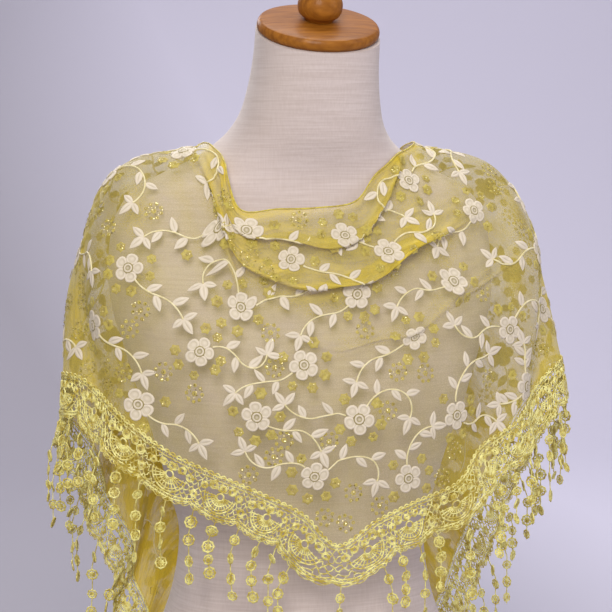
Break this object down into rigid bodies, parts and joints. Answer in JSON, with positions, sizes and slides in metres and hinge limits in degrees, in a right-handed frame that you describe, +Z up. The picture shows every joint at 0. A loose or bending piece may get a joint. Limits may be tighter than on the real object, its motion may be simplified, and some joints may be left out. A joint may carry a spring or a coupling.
{
  "type": "lace shawl on dress form",
  "caption": "Sheer triangular lace shawl with embroidered flowers, a lace border and a rosette fringe, draped point-front over a limbless linen dress form.",
  "frame": {"origin": "middle of the flat base that the dress form stands on", "axes": "+Z up, the front and the shawl's point face -Y, +X is to the viewer's right seen from the front"},
  "size_m": [0.5259, 0.2631, 0.7941],
  "materials": {
    "linen_cover": "slubbed plain-weave linen, matt",
    "varnished_wood": "turned and varnished",
    "sheer_net": "sheer net with ivory embroidery",
    "yellow_lace": "lustrous lace thread",
    "yellow_thread": "lustrous twisted thread"
  },
  "bodies": {
    "root": {"form_torso": "linen_cover", "form_neck_cap": "varnished_wood", "form_finial": "varnished_wood", "net_front_left": "sheer_net", "net_front_right": "sheer_net", "net_back_left": "sheer_net", "net_back_right": "sheer_net", "lace_front_left": "yellow_lace", "lace_front_right": "yellow_lace", "lace_back_left": "yellow_lace", "lace_back_right": "yellow_lace", "fringe_front_left": "yellow_thread", "fringe_front_right": "yellow_thread", "fringe_back_left": "yellow_thread", "fringe_back_right": "yellow_thread"}
  },
  "joints": []
}
